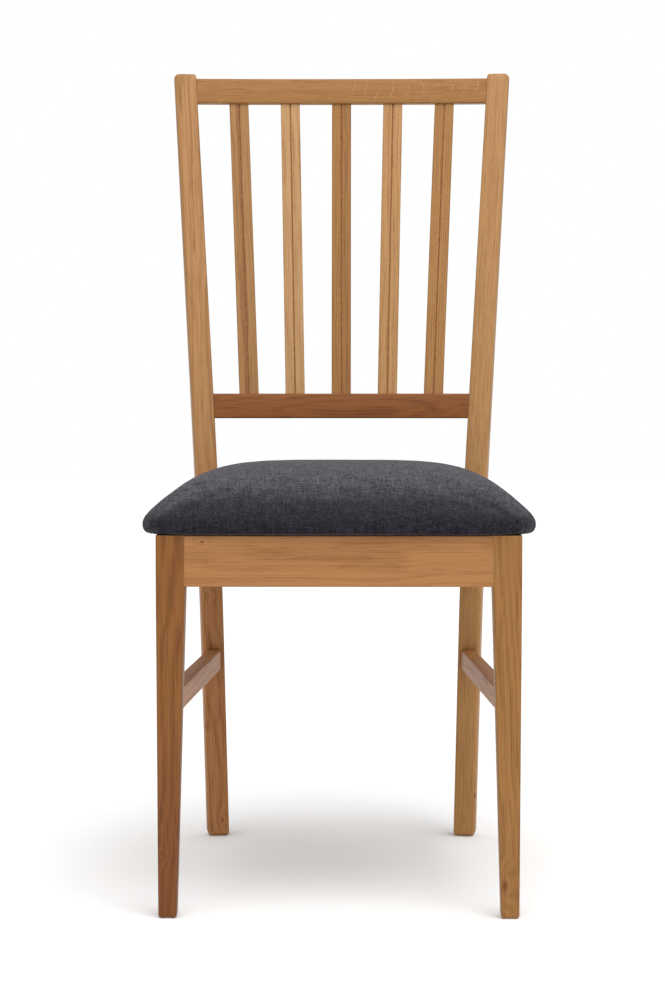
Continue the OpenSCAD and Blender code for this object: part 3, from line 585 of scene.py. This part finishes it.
# what all members share: stain and groove sizes are in mm
oakDetails = {
    "rayFade": 30,
    "stainDrift": ((0.02, 0.1, 0.1), 5.0),
    "stainEdge": 0.3,
    "stainColour": (112, 62, 26),
    "halvesEdge": 0.6,
    "halvesColour": (126, 84, 50),
    # the painted shade in the slats' grooves
    "grooveBreaks": ((0.16, 0.0, 0.0), 1.2),
    "grooveEdge": (0.55, 1.15, 1.0, 0.0),
    "groovePale": (176, 112, 62),
    "grooveDark": (140, 76, 36),
    "grooveMix": (-0.12, 0.12),
    "grooveStrength": 0.75,
    "specular": 0.22,
    "relief": 0.00025,
}


def knotsInto(tree, grain, look, start, end):
    # how far the knots pull the rings, and where they are dark
    pull, mask = None, None
    for spot, size in look["knots"]:
        centre = localPoint(start, end, spot)
        knot = useGroup(tree, knotGroup, {"Place": grain, "Centre": centre, "Size": size})
        pull = knot["Pull"] if pull is None else total(tree, pull, knot["Pull"])
        mask = knot["Mask"] if mask is None else maths(tree, "MAXIMUM", mask, knot["Mask"])
    return pull, mask


def stained(tree, colour, grain, across, stain):
    # a dark stripe along the member, beside its middle
    offCentre, reach, strength = stain
    scale, gain = oakDetails["stainDrift"]
    drift = swing(tree, noiseAt(tree, stretch(tree, grain, scale), 1, 3), 0.5, gain)
    gap = maths(tree, "ABSOLUTE", total(tree, maths(tree, "SUBTRACT", across, offCentre), drift))
    amount = product(tree, ramp(tree, gap, oakDetails["stainEdge"], reach, 1.0, 0.0), strength)
    return mixColour(tree, amount, colour, rgb(*oakDetails["stainColour"]))


def grooved(tree, colour, grain, across):
    # painted shade: the dark, broken line in a slat's groove
    scale, gain = oakDetails["grooveBreaks"]
    broken = maths(tree, "SUBTRACT", noiseAt(tree, stretch(tree, grain, scale), 1, 4), 0.5)
    fromMiddle = total(tree, maths(tree, "ABSOLUTE", across), product(tree, broken, gain))
    groove = ramp(tree, fromMiddle, *oakDetails["grooveEdge"])
    line = mixColour(tree, ramp(tree, broken, *oakDetails["grooveMix"]), rgb(*oakDetails["groovePale"]),
                     rgb(*oakDetails["grooveDark"]))
    return mixColour(tree, product(tree, groove, oakDetails["grooveStrength"]), colour, line)


def oakMaterial(node, own):
    look = {**oakDefaults, **own}
    material, tree, shader, place = newMaterial("oak_" + node)
    start, end = (endPoint(node, look["axis"], high) for high in (False, True))
    if node.startswith("rear_leg"):
        side = 1.0 if start.x > 0 else -1.0
        place = useGroup(tree, bentGroup, {"Place": place, "Side": side})["Place"]
        x, y, z = bentLeg["middle"]
        start = Vector((side * x, y, z - bentLeg["halfLength"]))
        end = Vector((side * x, y, z + bentLeg["halfLength"]))
    grain = grainPlace(tree, place, start, end)
    along, _, across = splitAxes(tree, grain)
    pull, knotMask = knotsInto(tree, grain, look, start, end)
    inputs = {
        "Place": grain, "Seed": look["seed"], "Pale": rgb(*look["pale"]), "Dark": rgb(*look["dark"]),
        "Streak": rgb(*look["streak"]), "Ring Width": look["ringWidth"], "Log Y": look["logY"],
        "Log Z": look["logZ"], "Run": look["run"], "Waviness": look["waviness"], "Rings": look["rings"],
        "Pores": look["pores"], "Streaks": look["streaks"], "Rays": look["rays"],
    }
    if "rayFrom" in look:
        begin = ramp(tree, along, look["rayFrom"], look["rayFrom"] + oakDetails["rayFade"])
        inputs["Rays"] = product(tree, begin, look["rays"])
    if pull is not None:
        inputs["Pull"] = pull
    wood = useGroup(tree, oakFigure, inputs)
    colour = wood["Color"]
    if "footTint" in look:
        tint, fromHere, toHere = look["footTint"]
        colour = mixColour(tree, ramp(tree, along, fromHere, toHere, 1.0, 0.0), colour, tint + (1,), "MULTIPLY")
    if knotMask is not None:
        colour = mixColour(tree, product(tree, knotMask, knotLook["strength"]), colour, rgb(*knotLook["colour"]))
    if "stain" in look:
        colour = stained(tree, colour, grain, across, look["stain"])
    if "halves" in look:
        half = ramp(tree, across, -oakDetails["halvesEdge"], oakDetails["halvesEdge"], 0.0, look["halves"])
        colour = mixColour(tree, half, colour, rgb(*oakDetails["halvesColour"]))
    # painted shade in the slats' grooves
    if look["groove"]:
        colour = grooved(tree, colour, grain, across)
    # painted highlight: the rounded edges are mixed towards a paler colour
    bevel = addNode(tree, "ShaderNodeBevel", {"Radius": edgeHighlightLook["reach"]}, samples=4)
    plain = tree.nodes.new("ShaderNodeNewGeometry").outputs["Normal"]
    edgeHighlight = useGroup(tree, edgeHighlightGroup, {"Bevelled": bevel.outputs[0], "Plain": plain})["Mask"]
    colour = mixColour(tree, product(tree, edgeHighlight, edgeHighlightLook["strength"]), colour, rgb(*edgeHighlightLook["colour"]))
    tree.links.new(colour, shader.inputs["Base Color"])
    tree.links.new(wood["Roughness"], shader.inputs["Roughness"])
    shader.inputs["Specular IOR Level"].default_value = oakDetails["specular"]
    bumpFrom(tree, shader, wood["Height"], oakDetails["relief"])
    return material


for node, own in oakMembers.items():
    paint(nodes[node], oakMaterial(node, own))
    smoothNode(nodes[node])
print("oak members ready")

# hidden timber, board, screws and glides
beechLook = {"pale": (214, 178, 134), "dark": (190, 150, 106), "streak": (150, 104, 66), "rings": 0.3,
             "pores": 0.25, "streaks": 0.1, "ringWidth": 3.2}
beechNodes = ["corner_block_front_left", "corner_block_front_right", "corner_block_rear_left",
              "corner_block_rear_right", "front_rail_dowels", "rear_rail_dowels", "side_rail_dowels"]
for count, node in enumerate(beechNodes):
    paint(nodes[node], oakMaterial(node, {**beechLook, "seed": 20.5 + count, "axis": 1 if "side" in node else 0}))
    smoothNode(nodes[node])

plyLook = {"layer": 1.3, "layerEdge": (0.4, 0.9), "layerStrength": 0.35, "relief": 0.0002}
plyMaterial, tree, shader, place = newMaterial("birchPly")
plyGrain = inMillimetres(tree, place)
layer = ramp(tree, maths(tree, "PINGPONG", splitAxes(tree, plyGrain)[2], plyLook["layer"]), *plyLook["layerEdge"])
plyFace = useGroup(tree, oakFigure, {"Place": plyGrain, "Seed": 31.0, "Pale": rgb(226, 196, 150),
                                     "Dark": rgb(205, 170, 122), "Streak": rgb(160, 116, 74), "Rings": 0.3,
                                     "Pores": 0.2, "Streaks": 0.15})
plyColour = mixColour(tree, product(tree, layer, plyLook["layerStrength"]), plyFace["Color"], rgb(150, 108, 70))
tree.links.new(plyColour, shader.inputs["Base Color"])
tree.links.new(plyFace["Roughness"], shader.inputs["Roughness"])
bumpFrom(tree, shader, plyFace["Height"], plyLook["relief"])
paint(nodes["seat_board"], plyMaterial)
smoothNode(nodes["seat_board"])

metalLook = {"spots": (0.7, 4, 0.6), "spotRange": (0.35, 0.75), "spotShade": 0.62, "scratches": (0.4, 6.0, 6.0),
             "roughSpread": 0.25, "relief": 0.00004}


def metalMaterial(name, colour, roughness):
    material, tree, shader, place = newMaterial(name)
    grain = inMillimetres(tree, place)
    spots = noiseAt(tree, grain, *metalLook["spots"])
    scratches = noiseAt(tree, stretch(tree, grain, metalLook["scratches"]))
    shade = tuple(c * metalLook["spotShade"] for c in colour[:3]) + (1,)
    tree.links.new(mixColour(tree, ramp(tree, spots, *metalLook["spotRange"]), colour, shade),
                   shader.inputs["Base Color"])
    shader.inputs["Metallic"].default_value = 1.0
    tree.links.new(maths(tree, "MULTIPLY_ADD", scratches, metalLook["roughSpread"], roughness),
                   shader.inputs["Roughness"])
    bumpFrom(tree, shader, scratches, metalLook["relief"])
    return material


screwMetal = metalMaterial("zincScrew", rgb(206, 206, 200), 0.28)
stapleMetal = metalMaterial("stapleWire", rgb(196, 198, 202), 0.34)
metals = {"corner_block_screws": screwMetal, "seat_screws": screwMetal, "cover_staples": stapleMetal}
for node, metal in metals.items():
    paint(nodes[node], metal)
    smoothNode(nodes[node])

nylonLook = {"dirt": (0.35, 4, 0.65), "dirtRange": (0.45, 0.75, 0.0, 0.5), "rough": (0.3, 0.4), "relief": 0.00008}
nylonMaterial, tree, shader, place = newMaterial("nylonGlide")
dirt = noiseAt(tree, inMillimetres(tree, place), *nylonLook["dirt"])
nylonColour = mixColour(tree, ramp(tree, dirt, *nylonLook["dirtRange"]), rgb(232, 229, 220), rgb(150, 142, 128))
tree.links.new(nylonColour, shader.inputs["Base Color"])
tree.links.new(maths(tree, "MULTIPLY_ADD", dirt, *nylonLook["rough"]), shader.inputs["Roughness"])
bumpFrom(tree, shader, dirt, nylonLook["relief"])
paint(nodes["foot_glides"], nylonMaterial)
smoothNode(nodes["foot_glides"])
print("small parts ready")

# the cloth, a plain weave of charcoal yarns in two tones
clothLook = {
    "pitch": 1.0,  # mm from yarn to yarn
    "dark": (24, 23, 27),
    "light": (69, 67, 77),
    "mottle": 0.2,
    "mottleScale": 0.03,
    "yarnStep": 7.31,  # moves the slubs on from yarn to yarn
    "slubs": ((0.16, 0.6), (0.045, 0.4)),  # scale along the yarn, and share, fine and slow
    "slubRange": (0.38, 0.66),
    "warpOffset": 1.0,
    "weftOffset": 9.0,
    # painted shade: yarns darker at their sides than on their crowns
    "paintedCrownShade": (0.6, 0.4),
    "rough": (-0.1, 0.92),
    "sheen": 0.2,
    "sheenRough": 0.22,
    "specular": 0.06,
    # painted light: cloth facing up is mixed towards paler yarn colours, standing in for the light from above
    "paintedTopLight": 0.34,
    "paintedTopLightFacing": (0.63, 0.97),
    "paintedTopLightDarkYarn": (30, 29, 34),
    "paintedTopLightPaleYarn": (163, 159, 171),
    "edgeHeight": 0.032,  # m above the cover's lowest point
    "overEdge": 1.5,
    "relief": 0.0005,
    "reliefStrength": 0.8,
}
weaveGroup, wIn, wOut = newGroup(
    "heatheredWeave",
    {
        "Across": (floatKind, 0.0),  # mm, counts the warp
        "Along": (floatKind, 0.0),  # mm, counts the weft
        "Pitch": (floatKind, 1.1),
        "Dark": (colourKind, (0.02, 0.02, 0.025, 1)),
        "Light": (colourKind, (0.2, 0.2, 0.21, 1)),
        "Mottle": (floatKind, 0.5),
    },
    {"Color": colourKind, "Roughness": floatKind, "Height": floatKind, "Tone": floatKind},
)
t = weaveGroup
warpAt = maths(t, "DIVIDE", wIn["Across"], wIn["Pitch"])
weftAt = maths(t, "DIVIDE", wIn["Along"], wIn["Pitch"])


def yarnTone(tree, index, travel, offset):
    # lightness along one yarn, with slubs
    row = product(tree, maths(tree, "FLOOR", index), clothLook["yarnStep"])
    (fineScale, fineShare), (slowScale, slowShare) = clothLook["slubs"]
    fine = noiseAt(tree, joinAxes(tree, row, product(tree, travel, fineScale), offset), 1, 2, 0.6)
    slow = noiseAt(tree, joinAxes(tree, row, product(tree, travel, slowScale), offset + 5), 1, 1)
    both = maths(tree, "MULTIPLY_ADD", fine, fineShare, product(tree, slow, slowShare))
    return ramp(tree, both, *clothLook["slubRange"])


warpTone = yarnTone(t, warpAt, wIn["Along"], clothLook["warpOffset"])
weftTone = yarnTone(t, weftAt, wIn["Across"], clothLook["weftOffset"])
checker = maths(t, "MODULO", total(t, maths(t, "FLOOR", warpAt), maths(t, "FLOOR", weftAt)), 2.0)
over = maths(t, "GREATER_THAN", maths(t, "ABSOLUTE", checker), 0.5)
tone = addNode(t, "ShaderNodeMix", {0: over, 2: warpTone, 3: weftTone}, data_type="FLOAT").outputs[0]
rounds = [maths(t, "SINE", product(t, maths(t, "FRACT", yarn), math.pi)) for yarn in (warpAt, weftAt)]
crown = product(t, *rounds)
spread = [product(t, wIn[way], clothLook["mottleScale"]) for way in ("Across", "Along")]
mottle = noiseAt(t, joinAxes(t, *spread), 1, 4, 0.6)
tone = maths(t, "ADD", tone, swing(t, mottle, 0.5, wIn["Mottle"]), clamp=True)
t.links.new(tone, wOut["Tone"])
# painted shade between the yarns: each yarn is lighter on its crown and darker at its sides
tone = product(t, tone, maths(t, "MULTIPLY_ADD", crown, *clothLook["paintedCrownShade"]))
t.links.new(mixColour(t, tone, wIn["Dark"], wIn["Light"]), wOut["Color"])
t.links.new(maths(t, "MULTIPLY_ADD", crown, *clothLook["rough"]), wOut["Roughness"])
t.links.new(total(t, crown, product(t, tone, 0.4)), wOut["Height"])

# where the threads run: flat on the crown, and down over the rounded edges
threadGroup, hIn, hOut = newGroup(
    "threadPlace",
    {"Place": (vectorKind, None), "Normal": (vectorKind, None), "Edge Height": (floatKind, 0.44)},
    {"Across": floatKind, "Along": floatKind},
)
t = threadGroup
at = splitAxes(t, hIn["Place"])
facing = splitAxes(t, hIn["Normal"])
drop = maths(t, "SUBTRACT", at[2], hIn["Edge Height"])
for label, axis in {"Across": 0, "Along": 1}.items():
    lean = maths(t, "MAXIMUM", product(t, facing[axis], clothLook["overEdge"]), -1.0)
    run = maths(t, "SUBTRACT", at[axis], product(t, drop, maths(t, "MINIMUM", lean, 1.0)))
    t.links.new(product(t, run, 1000.0), hOut[label])

clothMaterial, tree, shader, place = newMaterial("charcoalCloth")
normal = tree.nodes.new("ShaderNodeNewGeometry").outputs["Normal"]
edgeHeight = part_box("seat_cover")[0].z + clothLook["edgeHeight"]
thread = useGroup(tree, threadGroup, {"Place": place, "Normal": normal, "Edge Height": edgeHeight})
weave = useGroup(tree, weaveGroup, {"Across": thread["Across"], "Along": thread["Along"],
                                    "Pitch": clothLook["pitch"], "Mottle": clothLook["mottle"],
                                    "Dark": rgb(*clothLook["dark"]), "Light": rgb(*clothLook["light"])})
# painted light: where the cloth faces up, its colour is mixed towards paler yarns to stand in for the light from
# above
upward = splitAxes(tree, normal)[2]
paintedTopLight = product(tree, ramp(tree, upward, *clothLook["paintedTopLightFacing"]), clothLook["paintedTopLight"])
paintedTopLightYarn = mixColour(tree, weave["Tone"], rgb(*clothLook["paintedTopLightDarkYarn"]), rgb(*clothLook["paintedTopLightPaleYarn"]))
tree.links.new(mixColour(tree, paintedTopLight, weave["Color"], paintedTopLightYarn), shader.inputs["Base Color"])
tree.links.new(weave["Roughness"], shader.inputs["Roughness"])
shader.inputs["Specular IOR Level"].default_value = clothLook["specular"]
shader.inputs["Sheen Weight"].default_value = clothLook["sheen"]
shader.inputs["Sheen Roughness"].default_value = clothLook["sheenRough"]
bumpFrom(tree, shader, weave["Height"], clothLook["relief"], clothLook["reliefStrength"])

padLook = {
    "voxel": 0.005,
    "smooth": 4,
    "pressure": 6.0,
    "frames": 20,
    "cap": 0.005,
    "keep": 0.3,
    "heldTo": 0.0015,  # m above the lowest point, where the cover is folded under
    "slack": 0.0006,
    "slackSizes": ((14, 0.5), (37, 0.25)),
    "slackOnTop": 0.35,
    "gatherHeight": 0.016,
    "cornerIn": 0.045,
    "cornerReach": 0.01,
    "gathers": 15,
    "gatherDepth": 0.0010,
    "gatherSpread": 0.75,
}
pocketLook = {"facesDown": -0.99, "level": 0.01, "baseDepth": 0.004, "slip": 0.0004}


def copyNode(node, name):
    piece = nodes[node].copy()
    piece.data = nodes[node].data.copy()
    piece.name = name
    piece.data.name = name
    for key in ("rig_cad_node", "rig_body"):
        if key in piece:
            del piece[key]
    piece.parent = None
    bpy.context.collection.objects.link(piece)
    clearNormals(piece)
    return piece


def closedPad(name):
    # the foam's outside, with the board's pocket closed off by a flat base
    piece = copyNode("seat_foam", name)
    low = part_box("seat_foam")[0]
    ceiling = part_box("seat_board")[1].z + pocketLook["slip"]
    mesh = bmesh.new()
    mesh.from_mesh(piece.data)
    bmesh.ops.remove_doubles(mesh, verts=mesh.verts, dist=joinDistance)
    pocket = []
    for face in mesh.faces:
        middle = face.calc_center_median().z
        top = face.normal.z < pocketLook["facesDown"] and middle > low.z + pocketLook["baseDepth"]
        wall = abs(face.normal.z) < pocketLook["level"] and all(v.co.z < ceiling for v in face.verts)
        if top or (wall and middle < ceiling):
            pocket.append(face)
    bmesh.ops.delete(mesh, geom=pocket, context="FACES")
    rim = [e for e in mesh.edges if e.is_boundary]
    bmesh.ops.holes_fill(mesh, edges=rim, sides=0)
    bmesh.ops.recalc_face_normals(mesh, faces=mesh.faces)
    mesh.to_mesh(piece.data)
    mesh.free()
    return piece


def remeshAt(piece, size):
    remesh = piece.modifiers.new("evenMesh", "REMESH")
    remesh.mode = "VOXEL"
    remesh.voxel_size = size
    makeActive(piece)
    bpy.ops.object.modifier_apply(modifier="evenMesh")


cushion = closedPad("seatCushion")
remeshAt(cushion, padLook["voxel"])
print("cushion remeshed:", len(cushion.data.vertices), "points")


def swell(piece, look):
    # the foam pushes the cover out; it stays put where it is folded under the board
    before = [v.co.copy() for v in piece.data.vertices]
    low = min(c.z for c in before)
    held = piece.vertex_groups.new(name="stapledUnder")
    held.add([i for i, c in enumerate(before) if c.z < low + look["heldTo"]], 1.0, "ADD")
    cloth = piece.modifiers.new("stuffing", "CLOTH")
    cloth.settings.use_pressure = True
    cloth.settings.uniform_pressure_force = look["pressure"]
    cloth.settings.effector_weights.gravity = 0
    cloth.settings.vertex_group_mass = "stapledUnder"
    cloth.settings.quality = 4
    cloth.point_cache.frame_start = 1
    cloth.point_cache.frame_end = look["frames"]
    scene = bpy.context.scene
    for frameNumber in range(1, look["frames"] + 1):
        scene.frame_set(frameNumber)
    makeActive(piece)
    bpy.ops.object.modifier_apply(modifier="stuffing")
    scene.frame_set(1)
    for vertex, start in zip(piece.data.vertices, before):
        move = vertex.co - start
        if move.length > look["cap"]:
            move = move.normalized() * look["cap"]
        vertex.co = start + move * look["keep"]


makeActive(cushion)
soften = cushion.modifiers.new("soften", "SMOOTH")
soften.factor = 0.5
soften.iterations = padLook["smooth"]
bpy.ops.object.modifier_apply(modifier="soften")
swell(cushion, padLook)
print("cushion swollen")
makeActive(cushion)
finer = cushion.modifiers.new("finer", "SUBSURF")
finer.levels = finer.render_levels = 1
bpy.ops.object.modifier_apply(modifier="finer")


def dressCover(piece, look):
    # small slack in the cloth, and gathers where it turns under at the front corners
    low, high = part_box("seat_cover")
    normals = [v.normal.copy() for v in piece.data.vertices]
    for vertex, normal in zip(piece.data.vertices, normals):
        c = vertex.co
        slack = sum(noise.noise(c * size) * part for size, part in look["slackSizes"])
        onTop = look["slackOnTop"]
        move = slack * look["slack"] * (onTop + (1 - onTop) * (1 - max(0.0, normal.z)))
        under = 1 - min(1.0, max(0.0, (c.z - low.z) / look["gatherHeight"]))
        for side in (-1, 1):
            corner = Vector((side * (high.x - look["cornerIn"]), low.y + look["cornerIn"], c.z))
            away = c - corner
            if away.x * side > -look["cornerReach"] and away.y < look["cornerReach"]:
                turn = math.atan2(-away.y, away.x * side)
                fade = math.exp(-((turn - math.pi / 4) / look["gatherSpread"]) ** 2)
                ripple = max(0.0, math.cos(turn * look["gathers"])) ** 2
                move -= look["gatherDepth"] * fade * ripple * under
        vertex.co = c + normal * move


dressCover(cushion, padLook)


def fitTo(piece, low, high):
    # brings the outside to the cover's own, side to side, front to back and up
    for i in range(3):
        places = [v.co[i] for v in piece.data.vertices]
        first, last = min(places), max(places)
        for vertex, place in zip(piece.data.vertices, places):
            vertex.co[i] = low[i] + (high[i] - low[i]) * (place - first) / (last - first)


fitTo(cushion, *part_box("seat_cover"))
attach(cushion, "root")
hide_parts("seat_cover", "seat_foam")
paint(cushion, clothMaterial)
shadeSmooth(cushion)
print("cushion ready")

dustLook = {
    "columns": 60,
    "rows": 56,
    "sag": 0.0014,
    "wrinkle": 0.0005,
    "wrinkleSize": (9, 22),
    "thickness": 0.0004,
    "screwSide": 0.03,  # m from the middle, past which the outline is read
    "lint": (0.9, 5, 0.7),
    "dots": (0.55, 0.25),
    "dotRange": (0.18, 0.34, 1.0, 0.0),
    "relief": 0.0002,
}


def dustCloth(look):
    # a thin sheet stapled over the folded cover, a little slack in the middle
    low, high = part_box("dust_cover")
    outline = [v.co for v in nodes["dust_cover"].data.vertices if abs(v.co.x) > dustLook["screwSide"]]
    deselectAll()
    bpy.ops.mesh.primitive_grid_add(x_subdivisions=look["columns"], y_subdivisions=look["rows"], size=2)
    sheet = bpy.context.object
    sheet.name = "dustCloth"
    reach = {}
    for vertex in sheet.data.vertices:
        u, v = vertex.co.x, vertex.co.y
        y = low.y + (high.y - low.y) * (v + 1) / 2
        row = round(v, 5)
        if row not in reach:
            reach[row] = halfWidthAt(outline, y)
        x = u * reach[row]
        hang = look["sag"] * (1 - u ** 4) * (1 - v ** 4)
        waveX, waveY = look["wrinkleSize"]
        ripple = look["wrinkle"] * noise.noise(Vector((x * waveX, y * waveY, 0))) * (1 - u ** 6) * (1 - v ** 6)
        vertex.co = (x, y, high.z - look["thickness"] - hang + ripple)
    return sheet


def halfWidthAt(outline, y):
    # the widest x of the outline's hull at this y
    points = sorted({(round(c.y, 5), round(abs(c.x), 5)) for c in outline})
    hull = []
    for p in points:
        while len(hull) > 1 and ((hull[-1][0] - hull[-2][0]) * (p[1] - hull[-2][1])
                                 - (hull[-1][1] - hull[-2][1]) * (p[0] - hull[-2][0])) >= 0:
            hull.pop()
        hull.append(p)
    for a, b in zip(hull, hull[1:]):
        if a[0] <= y <= b[0] and b[0] > a[0]:
            return a[1] + (b[1] - a[1]) * (y - a[0]) / (b[0] - a[0])
    return hull[0][1] if y < hull[0][0] else hull[-1][1]


sheet = dustCloth(dustLook)
thicken = sheet.modifiers.new("thickness", "SOLIDIFY")
thicken.thickness = dustLook["thickness"]
thicken.offset = 1
makeActive(sheet)
bpy.ops.object.modifier_apply(modifier="thickness")
shadeSmooth(sheet)
dustMaterial, tree, shader, place = newMaterial("blackNonwoven")
flecks = inMillimetres(tree, place)
lint = noiseAt(tree, flecks, *dustLook["lint"])
dotScale, dotSpread = dustLook["dots"]
dots = addNode(tree, "ShaderNodeTexVoronoi", {"Vector": flecks, "Scale": dotScale, "Randomness": dotSpread})
bond = ramp(tree, dots.outputs["Distance"], *dustLook["dotRange"])
dustColour = mixColour(tree, lint, rgb(22, 22, 25), rgb(66, 65, 70))
dustColour = mixColour(tree, product(tree, bond, 0.6), dustColour, rgb(14, 14, 16))
tree.links.new(dustColour, shader.inputs["Base Color"])
tree.links.new(maths(tree, "MULTIPLY_ADD", bond, -0.35, 0.95), shader.inputs["Roughness"])
bumpFrom(tree, shader, maths(tree, "SUBTRACT", lint, bond), dustLook["relief"])
paint(sheet, dustMaterial)
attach(sheet, "root")
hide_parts("dust_cover")
print("dust cloth ready")
